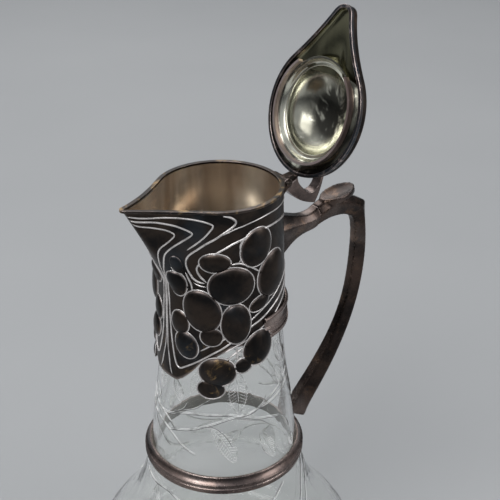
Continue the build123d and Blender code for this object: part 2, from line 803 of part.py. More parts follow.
with BuildPart() as thumb_piece:
    extrude(strap_side, amount=strap_width / 2, both=True)
    revolve(dome_half(-fit_gap), axis=Axis.Z, mode=Mode.SUBTRACT)
    extrude(round_face(barrel_radius + swing_gap), amount=strap_width, both=True, mode=Mode.SUBTRACT)
thumb_piece.part = thumb_piece.part.rotate(hinge_line, open_angle)
thumb_piece.part.label = "thumb_piece"


with BuildPart() as lid_knuckle:
    with BuildSketch(Plane.XZ):
        with BuildLine():
            Polyline(
                (lid_shift + lid_radius - lid_bead, lid_bottom),
                (lid_shift + lid_radius - lid_bead, lid_bottom + lid_bead),
                (hinge_out, lid_bottom + lid_bead / 2),
                (hinge_out + 0.8 * barrel_radius, hinge_z),
                (hinge_out - 0.8 * barrel_radius, hinge_z + barrel_radius / 2),
                close=True,
            )
        make_face()
    extrude(amount=moving_knuckle / 2, both=True)
    extrude(strap_side, amount=strap_width, both=True, mode=Mode.SUBTRACT)
    extrude(round_face(barrel_radius), amount=moving_knuckle / 2, both=True)
    extrude(round_face(pin_radius + running_clearance), amount=strap_width, both=True, mode=Mode.SUBTRACT)
    with BuildSketch(Plane.XY.offset(lid_bottom - lid_bead)):
        with Locations((lid_shift, 0)):
            Circle(lid_radius)
    extrude(amount=3 * lid_bead, mode=Mode.SUBTRACT)
lid_knuckle.part = lid_knuckle.part.rotate(hinge_line, open_angle)
lid_knuckle.part.label = "lid_knuckle"


# ---------------------------------------------------------------- files
os.makedirs("parts", exist_ok=True)
export_step(glass_body.part, "parts/glass_body.step")
export_step(neck_mount.part, "parts/neck_mount.step")
export_step(mouth_lining.part, "parts/mouth_lining.step")
export_step(mouth_rim_wire.part, "parts/mouth_rim_wire.step")
export_step(neck_cement.part, "parts/neck_cement.step")
export_step(mount_belt.part, "parts/mount_belt.step")
export_step(waist_collar.part, "parts/waist_collar.step")
export_step(collar_cement.part, "parts/collar_cement.step")
export_step(handle_bracket.part, "parts/handle_bracket.step")
export_step(handle_grip.part, "parts/handle_grip.step")
export_step(hinge_bracket.part, "parts/hinge_bracket.step")
export_step(hinge_pin.part, "parts/hinge_pin.step")
export_step(lid_shell.part, "parts/lid_shell.step")
export_step(lid_rim_wire.part, "parts/lid_rim_wire.step")
export_step(lid_lining.part, "parts/lid_lining.step")
export_step(lid_bezel.part, "parts/lid_bezel.step")
export_step(lid_knuckle.part, "parts/lid_knuckle.step")
export_step(thumb_piece.part, "parts/thumb_piece.step")
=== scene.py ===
"""Claret jug with a cast neck mount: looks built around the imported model. Metres, +Z up.

The spout points to -X, the handle to +X, and the lid leans open about its hinge.
"""
from math import cos, degrees, pi, radians, sin

import bpy
import numpy as np
from mathutils import Matrix, Vector


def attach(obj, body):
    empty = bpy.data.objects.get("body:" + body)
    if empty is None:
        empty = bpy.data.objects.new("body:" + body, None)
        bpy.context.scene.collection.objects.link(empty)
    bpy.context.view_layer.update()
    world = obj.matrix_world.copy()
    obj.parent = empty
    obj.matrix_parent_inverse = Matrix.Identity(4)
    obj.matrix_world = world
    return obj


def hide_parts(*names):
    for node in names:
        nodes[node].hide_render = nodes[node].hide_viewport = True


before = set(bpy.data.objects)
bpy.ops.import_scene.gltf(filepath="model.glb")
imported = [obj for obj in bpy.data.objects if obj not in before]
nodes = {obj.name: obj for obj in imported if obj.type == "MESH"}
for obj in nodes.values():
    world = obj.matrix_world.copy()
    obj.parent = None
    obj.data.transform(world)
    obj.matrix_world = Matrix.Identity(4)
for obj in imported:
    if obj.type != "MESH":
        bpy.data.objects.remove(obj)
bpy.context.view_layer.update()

MM = 0.001
scene = bpy.context.scene
scene.view_settings.view_transform = "Standard"

# ---------------------------------------------------------------- camera
VIEW_AZIMUTH = 35.393       # degrees from +Y towards +X that the camera looks
VIEW_PITCH = 27.407         # degrees below level
VIEW_ROLL = -0.364
EYE = (-0.2858, -0.4301, 0.5009)
LENS = 77.07
SENSOR = 36.0


def add_camera():
    """The photograph's viewing angle, framed from the spout's side."""
    a, e, r = radians(VIEW_AZIMUTH), radians(VIEW_PITCH), radians(VIEW_ROLL)
    forward = Vector((sin(a) * cos(e), cos(a) * cos(e), -sin(e)))
    level = Vector((cos(a), -sin(a), 0))
    upward = level.cross(forward)
    right = level * cos(r) + upward * sin(r)
    top = upward * cos(r) - level * sin(r)
    data = bpy.data.cameras.new("view")
    data.lens, data.sensor_width = LENS, SENSOR
    data.clip_start, data.clip_end = 0.01, 20
    camera = bpy.data.objects.new("view", data)
    scene.collection.objects.link(camera)
    turn = Matrix((right, top, -forward)).transposed().to_4x4()
    camera.matrix_world = Matrix.Translation(EYE) @ turn
    scene.camera = camera


# ---------------------------------------------------------------- node helpers
class Nodes:
    """A material's node tree, with short calls for the nodes used here."""

    def __init__(self, name):
        self.material = bpy.data.materials.new(name)
        self.material.use_nodes = True
        self.tree = self.material.node_tree
        self.tree.nodes.clear()
        self.out = self.tree.nodes.new("ShaderNodeOutputMaterial")

    def add(self, kind, **settings):
        """A node with its settings; a setting named after an input sets or links that input."""
        node = self.tree.nodes.new(kind)
        for key, value in settings.items():
            if hasattr(node, key) and key not in node.inputs:
                setattr(node, key, value)
            else:
                self.feed(node.inputs[key], value)
        return node

    def feed(self, socket, value):
        if isinstance(value, bpy.types.NodeSocket):
            self.tree.links.new(value, socket)
        elif isinstance(value, tuple) and len(value) == 3 and socket.type == "RGBA":
            socket.default_value = (*value, 1)
        else:
            socket.default_value = value

    def position(self):
        return self.add("ShaderNodeTexCoord").outputs["Object"]

    def noise(self, scale, detail=4.0, rough=0.6, distortion=0.0, where=None):
        node = self.add("ShaderNodeTexNoise", Scale=scale, Detail=detail, Roughness=rough,
                        Distortion=distortion)
        self.feed(node.inputs["Vector"], where or self.position())
        return node.outputs["Fac"]

    def band(self, value, low, high, to_low=0.0, to_high=1.0):
        """Smooth step of a value from low to high."""
        node = self.add("ShaderNodeMapRange", interpolation_type="SMOOTHSTEP")
        keys = ("Value", "From Min", "From Max", "To Min", "To Max")
        for key, given in zip(keys, (value, low, high, to_low, to_high)):
            self.feed(node.inputs[key], given)
        return node.outputs["Result"]

    def math(self, operation, a, b=0.0, clamp=False):
        node = self.add("ShaderNodeMath", operation=operation, use_clamp=clamp)
        self.feed(node.inputs[0], a)
        self.feed(node.inputs[1], b)
        return node.outputs[0]

    def mix(self, share, a, b):
        node = self.add("ShaderNodeMix", data_type="RGBA")
        self.feed(node.inputs["Factor"], share)
        self.feed(node.inputs[6], a)
        self.feed(node.inputs[7], b)
        return node.outputs[2]

    def attribute(self, name):
        return self.add("ShaderNodeAttribute", attribute_name=name).outputs["Fac"]

    def bump(self, height, strength, distance, normal=None):
        node = self.add("ShaderNodeBump", Strength=strength, Distance=distance, Height=height)
        if normal:
            self.feed(node.inputs["Normal"], normal)
        return node.outputs["Normal"]

    def edges(self, radius, low=0.02, high=0.22):
        """How near a sharp edge a point is: 0 on the flat, 1 at the edge."""
        bevel = self.add("ShaderNodeBevel", samples=6, Radius=radius)
        normal = self.add("ShaderNodeNewGeometry").outputs["Normal"]
        dot = self.add("ShaderNodeVectorMath", operation="DOT_PRODUCT")
        self.feed(dot.inputs[0], bevel.outputs[0])
        self.feed(dot.inputs[1], normal)
        return self.band(self.math("SUBTRACT", 1.0, dot.outputs["Value"]), low, high), bevel.outputs[0]

    def finish(self, shader):
        self.tree.links.new(shader, self.out.inputs["Surface"])
        return self.material


# linear colours
TARNISH = (0.019, 0.018, 0.018)
TARNISH_BROWN = (0.052, 0.040, 0.033)
TARNISH_BLUE = (0.055, 0.068, 0.082)
SILVER_PINK = (0.66, 0.55, 0.51)
SILVER_WHITE = (0.86, 0.82, 0.80)
GILT = (0.46, 0.30, 0.13)
# dark olive of the painted reflection in the lid's dish
DARK_REFLECTION_SILVER = (0.045, 0.043, 0.036)


def metal_base(n, colour, roughness, normal, metallic=1.0):
    """A metal shader with a colour, roughness and normal that vary."""
    shader = n.add("ShaderNodeBsdfPrincipled", Metallic=metallic)
    n.feed(shader.inputs["Base Color"], colour)
    n.feed(shader.inputs["Roughness"], roughness)
    n.feed(shader.inputs["Normal"], normal)
    return n.finish(shader.outputs[0])


WORN_BROWN = (0.17, 0.105, 0.070)
HANDLE_GROUND = ((0.026, 0.022, 0.021), (0.085, 0.060, 0.050))
PINK_GROUND = ((0.085, 0.068, 0.064), (0.23, 0.175, 0.155))


def cast_metal(name, wear_radius=0.9 * MM, polish=0.35, brown=0.5, warm_colour=WORN_BROWN,
               ground=(TARNISH, TARNISH_BROWN), rub_scale=24, sheen=0.0):
    """Tarnished cast silver plate, brown-black, worn to a pinkish silver along its edges."""
    n = Nodes(name)
    large, fine = n.noise(38, 5, 0.62), n.noise(420, 6, 0.7)
    grime = n.band(large, 0.36, 0.66)
    base = n.mix(grime, *ground)
    warm = n.band(n.noise(85, 5, 0.65, 0.6), 0.52, 0.70, 0.0, brown)
    base = n.mix(warm, base, warm_colour)
    edge, normal = n.edges(wear_radius)
    worn = n.math("MULTIPLY", edge, n.band(n.noise(150, 4), 0.30, 0.62, 0.35, 1.0))
    rub = n.band(n.noise(rub_scale, 3, 0.5, 0.3), 0.52, 0.78, 0.0, polish)
    shown = n.math("MAXIMUM", worn, rub)
    colour = n.mix(shown, base, SILVER_PINK)
    roughness = n.math("ADD", n.band(shown, 0.0, 1.0, 0.36 - sheen, 0.20),
                       n.band(fine, 0.3, 0.8, -0.05, 0.09))
    return metal_base(n, colour, roughness, n.bump(fine, 0.10, 0.12 * MM, normal))


def relief_metal(name, polish, gilt, metallic=1.0, rubbed=SILVER_PINK):
    """Cast relief: near-black in its hollows, rubbed silver where its wear attribute is high."""
    n = Nodes(name)
    large, fine = n.noise(55, 5, 0.62, 0.4), n.noise(520, 6, 0.7)
    base = n.mix(n.band(large, 0.35, 0.65), TARNISH, TARNISH_BROWN)
    base = n.mix(n.band(n.noise(31, 3, 0.5), 0.52, 0.75, 0.0, 0.5), base, TARNISH_BLUE)
    golden = n.band(n.noise(140, 6, 0.72, 0.8), 0.55, 0.72, 0.0, gilt)
    height = n.add("ShaderNodeSeparateXYZ")
    n.feed(height.inputs[0], n.position())
    golden = n.math("MULTIPLY", golden, n.band(height.outputs["Z"], 0.215, 0.165))
    base = n.mix(golden, base, GILT)
    worn = n.math("MULTIPLY", n.attribute("wear"), n.band(n.noise(210, 4), 0.25, 0.6, 0.5, 1.0))
    worn = n.math("MULTIPLY", worn, 0.55 + 0.45 * polish)
    colour = n.mix(worn, base, rubbed)
    roughness = n.math("ADD", n.band(worn, 0.0, 1.0, 0.40, 0.22), n.band(fine, 0.3, 0.8, -0.04, 0.08))
    return metal_base(n, colour, roughness, n.bump(fine, 0.12, 0.12 * MM), metallic)


def bright_metal(name, colour, cloud_colour, roughness, mottle, metallic=1.0):
    """Polished silver plate, darker in soft upright clouds, with fine streaks, and a painted dark reflection
    with lighter patches where its attribute is high.
    """
    n = Nodes(name)
    upright = n.add("ShaderNodeVectorMath", operation="MULTIPLY")
    n.feed(upright.inputs[0], n.position())
    n.feed(upright.inputs[1], (1.0, 1.0, 0.16))
    large, streak = n.noise(30, 3, 0.5, 0.4, upright.outputs[0]), n.noise(260, 5, 0.7)
    # the colour goes darker in soft clouds stretched upright, and back to the plain colour in pale patches
    cloud = n.math("MULTIPLY", n.band(large, 0.38, 0.60), mottle)
    shade = n.mix(cloud, colour, cloud_colour)
    pale = n.band(n.noise(95, 5, 0.7, 0.6, upright.outputs[0]), 0.60, 0.70, 0.0, 0.7)
    shade = n.mix(pale, shade, colour)
    # painted reflection: where the attribute is high (only in the lid's dish) the colour goes to dark olive,
    # broken by lighter patches that stand for painted highlights
    dark_reflection = n.math("MULTIPLY", n.attribute("wear"), n.band(n.noise(55, 4, 0.6, 1.4), 0.62, 0.48))
    shade = n.mix(dark_reflection, shade, DARK_REFLECTION_SILVER)
    rough = n.math("ADD", roughness, n.band(streak, 0.35, 0.75, 0.0, 0.07))
    return metal_base(n, shade, rough, n.bump(streak, 0.05, 0.08 * MM), metallic)


def clear_glass(name):
    """Clear glass that lets lamps through to what is behind it."""
    n = Nodes(name)
    shader = n.add("ShaderNodeBsdfPrincipled", **{"IOR": 1.5, "Roughness": 0.0, "Transmission Weight": 1.0})
    tint = n.mix(n.noise(18, 2), (0.965, 0.975, 0.965), (0.985, 0.985, 0.975))
    n.feed(shader.inputs["Base Color"], tint)
    n.feed(shader.inputs["Normal"], n.bump(n.noise(30, 2), 0.02, 0.4 * MM))
    through = n.add("ShaderNodeBsdfTransparent", Color=(0.92, 0.93, 0.92))
    lamp = n.add("ShaderNodeLightPath").outputs["Is Shadow Ray"]
    both = n.add("ShaderNodeMixShader")
    n.feed(both.inputs[0], lamp)
    n.feed(both.inputs[1], shader.outputs[0])
    n.feed(both.inputs[2], through.outputs[0])
    return n.finish(both.outputs[0])


def plaster(name):
    """Old plaster that beds the mounts."""
    n = Nodes(name)
    colour = n.mix(n.noise(120, 5), (0.075, 0.066, 0.056), (0.17, 0.155, 0.13))
    shader = n.add("ShaderNodeBsdfPrincipled", Roughness=0.85)
    n.feed(shader.inputs["Base Color"], colour)
    n.feed(shader.inputs["Normal"], n.bump(n.noise(600, 5), 0.3, 0.2 * MM))
    return n.finish(shader.outputs[0])


def floor_material(name):
    """Plain mid-grey paper."""
    n = Nodes(name)
    colour = n.mix(n.noise(3, 2), (0.385, 0.393, 0.398), (0.425, 0.432, 0.435))
    shader = n.add("ShaderNodeBsdfPrincipled", Roughness=0.9)
    n.feed(shader.inputs["Base Color"], colour)
    n.feed(shader.inputs["Specular IOR Level"], 0.1)
    return n.finish(shader.outputs[0])


def give(node, material):
    """One material for every slot of a CAD node."""
    data = nodes[node].data
    data.materials.clear()
    data.materials.append(material)


def add_stage():
    """A floor that sweeps up into a backdrop."""
    depth, height, bend, half = 3.0, 2.4, 0.7, 4.0
    steps = 16
    a = radians(VIEW_AZIMUTH)
    away, across = Vector((sin(a), cos(a), 0)), Vector((cos(a), -sin(a), 0))
    line = [(-2.5, 0), (depth - bend, 0)]
    line += [(depth - bend + bend * sin(t), bend - bend * cos(t)) for t in np.linspace(0, pi / 2, steps)[1:]]
    line += [(depth, height)]
    points = [away * x + across * side * half + Vector((0, 0, z)) for x, z in line for side in (-1, 1)]
    faces = [(2 * i, 2 * i + 1, 2 * i + 3, 2 * i + 2) for i in range(len(line) - 1)]
    data = bpy.data.meshes.new("floor")
    data.from_pydata(points, [], faces)
    for face in data.polygons:
        face.use_smooth = True
    floor = bpy.data.objects.new("floor", data)
    scene.collection.objects.link(floor)
    data.materials.append(floor_material("paper"))


def area_light(name, where, size, power, target=(0, 0, 0.2), colour=(1, 1, 1)):
    data = bpy.data.lights.new(name, "AREA")
    data.shape, data.size, data.size_y = "RECTANGLE", size[0], size[1]
    data.energy, data.color = power, colour
    lamp = bpy.data.objects.new(name, data)
    scene.collection.objects.link(lamp)
    look = Vector(target) - Vector(where)
    lamp.matrix_world = Matrix.Translation(where) @ look.to_track_quat("-Z", "Y").to_matrix().to_4x4()


# the room's shade by height: dark at eye level, light overhead
ROOM_SHADES = ((0.05, (0.075, 0.08, 0.088)), (0.85, (0.80, 0.82, 0.86)))
ROOM_LEVEL = 0.8


def add_light():
    """Soft boxes above and to both sides, and a grey room."""
    area_light("key", (-0.9, -0.3, 1.5), (1.0, 1.0), 14)
    area_light("fill", (0.9, -1.2, 1.0), (0.8, 1.2), 7)
    area_light("back", (0.5, 1.4, 1.3), (1.6, 0.8), 9)
    world = bpy.data.worlds.new("room")
    world.use_nodes = True
    scene.world = world
    tree = world.node_tree
    place = tree.nodes.new("ShaderNodeTexCoord")
    parts = tree.nodes.new("ShaderNodeSeparateXYZ")
    ramp = tree.nodes.new("ShaderNodeValToRGB")
    tree.links.new(place.outputs["Generated"], parts.inputs[0])
    tree.links.new(parts.outputs["Z"], ramp.inputs[0])
    tree.links.new(ramp.outputs[0], tree.nodes["Background"].inputs["Color"])
    for spot, shade in zip((ramp.color_ramp.elements[0], ramp.color_ramp.elements[1]), ROOM_SHADES):
        spot.position, spot.color = shade[0], (*shade[1], 1)
    tree.nodes["Background"].inputs["Strength"].default_value = ROOM_LEVEL


# ---------------------------------------------------------------- the mount's surface
# millimetres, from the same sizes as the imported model; drops are below the rim
RIM = 272.0
MOUTH_RADIUS, MOUNT_RADIUS, MOUNT_SPREAD = 34.0, 34.6, 3.4
SPOUT_REACH, SPOUT_LIFT, SPOUT_DEPTH, SPOUT_TIP = 59.0, 2.6, 46.0, 2.4
SPOUT_SHOULDER, SPOUT_NOSE, LIFT_START = 50.0, 64.0, 22.0
FOOT_STEP, FOOT_FADE = 0.25, 12.0
FRONT_DROP, SIDE_DROP, BACK_DROP = 103.5, 89.0, 79.0
RIM_WIRE = 1.3
SKIN = 0.8
MOUNT_COURSE = [(0.0, 0.0), (0.31, 0.15), (0.57, 0.3), (0.8, 0.6), (1.07, 1.0), (1.35, 1.53)]
TABLE_TURN = 1440
TABLE_STEP = 0.5


def hermite(p0, p1, m0, m1, count):
    """Points of a cubic between two places, with its speeds at both ends."""
    u = np.linspace(0, 1, count + 1)[:, None]
    return ((2 * u**3 - 3 * u**2 + 1) * p0 + (u**3 - 2 * u**2 + u) * m0
            + (3 * u**2 - 2 * u**3) * p1 + (u**3 - u**2) * m1)


def spout_outline(t, back=150, side=70, tip=16):
    """The spout's outline at t, from 0 at the mouth to 1 at its foot."""
    foot = MOUNT_RADIUS + FOOT_STEP
    radius = MOUTH_RADIUS + (foot - MOUTH_RADIUS) * t
    reach = radius + (SPOUT_REACH - MOUTH_RADIUS) * (1 - t) ** 1.1
    nose = SPOUT_TIP + (foot - SPOUT_TIP) * t ** 3.2
    a, b = radians(SPOUT_SHOULDER * (1 - t / 2)), radians(SPOUT_NOSE * (1 - 0.84 * t ** 1.5))
    centre = nose - reach
    left = np.array([-radius * cos(a), radius * sin(a)])
    left_tip = np.array([centre - nose * cos(b), nose * sin(b)])
    chord = np.linalg.norm(left_tip - left)
    turn = np.linspace(a - pi, pi - a, back + 1)
    rear = np.stack([radius * np.cos(turn), radius * np.sin(turn)], 1)
    flank = hermite(left, left_tip, np.array([-sin(a), -cos(a)]) * chord,
                    np.array([-sin(b), -cos(b)]) * chord, side)
    turn = np.linspace(b, -b, tip + 1)
    front = np.stack([centre - nose * np.cos(turn), nose * np.sin(turn)], 1)
    return np.concatenate([rear[:-1], flank[:-1], front[:-1], (flank[::-1] * [1, -1])[:-1]])


def course_radius(drop):
    """The mount's radius below the spout: a smooth curve through the course's points."""
    fall = SPOUT_DEPTH + (FRONT_DROP - SPOUT_DEPTH) * np.array([c[0] for c in MOUNT_COURSE])
    grow = MOUNT_RADIUS + MOUNT_SPREAD * np.array([c[1] for c in MOUNT_COURSE])
    slope = np.gradient(grow, fall)
    slope[0] = 0
    i = np.clip(np.searchsorted(fall, drop) - 1, 0, len(fall) - 2)
    h = fall[i + 1] - fall[i]
    u = (drop - fall[i]) / h
    radius = ((2 * u**3 - 3 * u**2 + 1) * grow[i] + (u**3 - 2 * u**2 + u) * slope[i] * h
              + (3 * u**2 - 2 * u**3) * grow[i + 1] + (u**3 - u**2) * slope[i + 1] * h)
    fade = np.clip(1 - (drop - SPOUT_DEPTH) / FOOT_FADE, 0, 1)
    return radius + FOOT_STEP * fade * fade * (3 - 2 * fade)


def radius_table():
    """The mount's radius at each turn and height."""
    turn = np.arange(TABLE_TURN) * 2 * pi / TABLE_TURN
    rows = []
    for z in np.arange(TABLE_LOW, RIM + 4, TABLE_STEP):
        t = (RIM + SPOUT_LIFT - z) / (SPOUT_LIFT + SPOUT_DEPTH)
        if t >= 1:
            rows.append(np.full(TABLE_TURN, course_radius(RIM - z)))
            continue
        x, y = spout_outline(max(t, 0.0)).T
        angle, reach = np.arctan2(y, x) % (2 * pi), np.hypot(x, y)
        order = np.argsort(angle)
        rows.append(np.interp(turn, angle[order], reach[order], period=2 * pi))
    return np.array(rows)


TABLE_LOW = 158.0
TABLE = radius_table()


def on_mount(angle, drop, lift=0.0):
    """Points on the mount's surface at angles from the handle and drops below the rim, in mm."""
    angle, drop = np.broadcast_arrays(np.asarray(angle, float), np.asarray(drop, float))
    row = np.clip((RIM - drop - TABLE_LOW) / TABLE_STEP, 0, len(TABLE) - 1.001)
    column = (angle % 360) / 360 * TABLE_TURN
    i, j = row.astype(int), column.astype(int) % TABLE_TURN
    u, v, k = row - i, column - np.floor(column), (j + 1) % TABLE_TURN
    radius = ((1 - u) * ((1 - v) * TABLE[i, j] + v * TABLE[i, k])
              + u * ((1 - v) * TABLE[i + 1, j] + v * TABLE[i + 1, k]))
    a = np.radians(angle)
    points = np.stack([radius * np.cos(a), radius * np.sin(a), RIM - drop], -1)
    return points + mount_normal(angle, drop) * np.asarray(lift)[..., None] if np.any(lift) else points


def mount_normal(angle, drop):
    turn, fall = 0.6, 0.6
    across = on_mount(angle + turn, drop) - on_mount(angle - turn, drop)
    down = on_mount(angle, drop + fall) - on_mount(angle, drop - fall)
    normal = np.cross(down, across)
    return normal / np.linalg.norm(normal, axis=-1, keepdims=True)


# ---------------------------------------------------------------- mesh helpers
class Build:
    """Collects the points, faces and wear of one mesh."""

    def __init__(self):
        self.points, self.faces, self.wear, self.count = [], [], [], 0

    def grid(self, points, wear, round_about=False, caps=False):
        """A sheet of rows x columns x 3, its columns closed on themselves if round_about."""
        rows, columns = points.shape[:2]
        index = self.count + np.arange(rows * columns).reshape(rows, columns)
        right = np.roll(index, -1, 1) if round_about else index[:, 1:]
        left = index if round_about else index[:, :-1]
        quads = np.stack([left[:-1], right[:-1], right[1:], left[1:]], -1).reshape(-1, 4)
        self.faces += quads.tolist()
        if caps:
            self.faces += [index[0][::-1].tolist(), index[-1].tolist()]
        self.points.append(points.reshape(-1, 3))
        self.wear.append(np.broadcast_to(wear, (rows, columns)).ravel())
        self.count += rows * columns
        return index

    def mesh(self, name, body, material, slot, turned=False):
        """The object, with its wear kept as an attribute."""
        points = np.concatenate(self.points) * MM
        data = bpy.data.meshes.new(name)
        faces = [f[::-1] for f in self.faces] if turned else self.faces
        data.from_pydata(points.tolist(), [], faces)
        data.polygons.foreach_set("use_smooth", [len(f) <= 4 for f in faces])
        kept = data.attributes.new("wear", "FLOAT", "POINT")
        kept.data.foreach_set("value", np.concatenate(self.wear).astype(np.float32))
        data.materials.append(material)
        piece = bpy.data.objects.new(name, data)
        scene.collection.objects.link(piece)
        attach(piece, body)
        return piece


def smooth_course(points, step):
    """A smooth line through points, with its places about step apart."""
    p = np.array(points, float)
    p = np.concatenate([[2 * p[0] - p[1]], p, [2 * p[-1] - p[-2]]])
    line = []
    for a, b, c, d in zip(p, p[1:], p[2:], p[3:]):
        count = max(2, int(np.linalg.norm(c - b) / step))
        u = np.linspace(0, 1, count, endpoint=False)[:, None]
        line.append(0.5 * (2 * b + (c - a) * u + (2 * a - 5 * b + 4 * c - d) * u**2
                           + (3 * b - a - 3 * c + d) * u**3))
    return np.concatenate(line + [p[-2:-1]])


def sweep(build, centre, normal, radius, taper, sides, turned=1, lift=0.0, closed=False):
    """A raised wire along a line of places that have normals; it thins out at its ends."""
    along = np.gradient(centre, axis=0)
    along /= np.linalg.norm(along, axis=1, keepdims=True)
    across = np.cross(along, normal)
    run = np.concatenate([[0], np.cumsum(np.linalg.norm(np.diff(centre, axis=0), axis=1))])
    near_end = np.minimum(run, run[-1] - run)
    size = radius * (np.ones_like(run) if closed else np.sqrt(np.clip(near_end / taper, 0.02, 1)))
    turn = np.arange(sides) * 2 * pi / sides * turned
    ring = normal[:, None] * np.cos(turn)[None, :, None] + across[:, None] * np.sin(turn)[None, :, None]
    points = centre[:, None] + normal[:, None] * lift + ring * size[:, None, None]
    wear = np.clip(0.55 + 0.6 * np.cos(turn), 0, 1)[None, :]
    build.grid(points, wear, round_about=True, caps=True)


def add_rib(build, course, radius, lift=0.0, taper=3.0, mirrored=True, sides=8, closed=False):
    """A raised wire along the mount's surface. The course is angles and drops."""
    line = smooth_course([(a / DEGREES_PER_MM, d) for a, d in course], 0.7)
    for side in ((1, -1) if mirrored else (1,)):
        angle, drop = line[:, 0] * DEGREES_PER_MM * side, line[:, 1]
        centre, normal = on_mount(angle, drop), mount_normal(angle, drop)
        sweep(build, centre, normal, radius, taper, sides, side, lift, closed)


DEGREES_PER_MM = degrees(1 / 35.6)
GRAPE_ROOT = 0.7            # how far a grape's edge reaches into the mount
OUTLINE_GAP, OUTLINE_WIRE, OUTLINE_LIFT = 0.3, 0.42, 0.5


def add_grape(build, angle, drop, half_length, half_width, tilt, rise, side):
    """A grape that swells out of the mount, its edge turned in under it."""
    lean = radians(tilt)
    share = np.sin(np.linspace(0, pi / 2, 15))
    turn = np.linspace(0, 2 * pi, 56, endpoint=False) * side
    u = share[:, None] * half_length * np.cos(turn)
    v = share[:, None] * half_width * np.sin(turn)
    across, up = u * cos(lean) - v * sin(lean), u * sin(lean) + v * cos(lean)
    height = rise * (1 - share ** 2.3) ** 0.55
    swell = np.broadcast_to(height[:, None], u.shape)
    flat_angle = (angle + across * DEGREES_PER_MM) * side
    points = on_mount(flat_angle, drop - up, swell + 0.05)
    wear = np.clip((share - 0.93) / 0.07, 0, 1)[:, None] * 0.7
    index = build.grid(points, wear, round_about=True)
    edge_angle, edge_drop = flat_angle[-1:], (drop - up)[-1:]
    root = on_mount(edge_angle, edge_drop) - mount_normal(edge_angle, edge_drop) * GRAPE_ROOT
    low = build.grid(root, 0.0, round_about=True)
    ring, base = index[-1], low[0]
    build.faces += np.stack([ring, np.roll(ring, -1), np.roll(base, -1), base], -1).tolist()
    build.faces.append(base.tolist())


# angle from the handle, drop, half length, half width, tilt, rise
GRAPES = [
    (245.6, 42.3, 12.6, 10.7, 0, 3.2), (219.0, 57.3, 12.4, 10.4, 112, 3.0),
    (248.9, 64.9, 11.7, 8.1, 90, 3.4), (287.5, 41.1, 13.2, 10.6, 68, 3.2),
    (269.6, 22.4, 11.0, 9.4, 60, 2.6), (231.5, 28.6, 8.4, 5.2, 0, 1.9),
    (271.8, 55.6, 6.8, 3.8, 22, 1.8), (196.0, 43.3, 7.4, 6.0, 100, 2.4),
    (203.7, 79.6, 8.0, 6.8, 120, 2.6), (197.3, 67.0, 6.8, 5.9, 90, 1.8),
    (227.2, 72.4, 6.0, 5.3, 0, 2.0), (231.9, 93.3, 9.7, 8.4, 0, 3.2),
    (226.4, 103.8, 7.0, 5.5, 0, 2.2), (268.8, 81.8, 10.4, 8.6, 60, 3.2),
    (254.1, 90.3, 4.9, 4.1, 30, 2.0),
]
BUD = (198.6, 31.2, 5.2, 2.9, 105, 1.5)
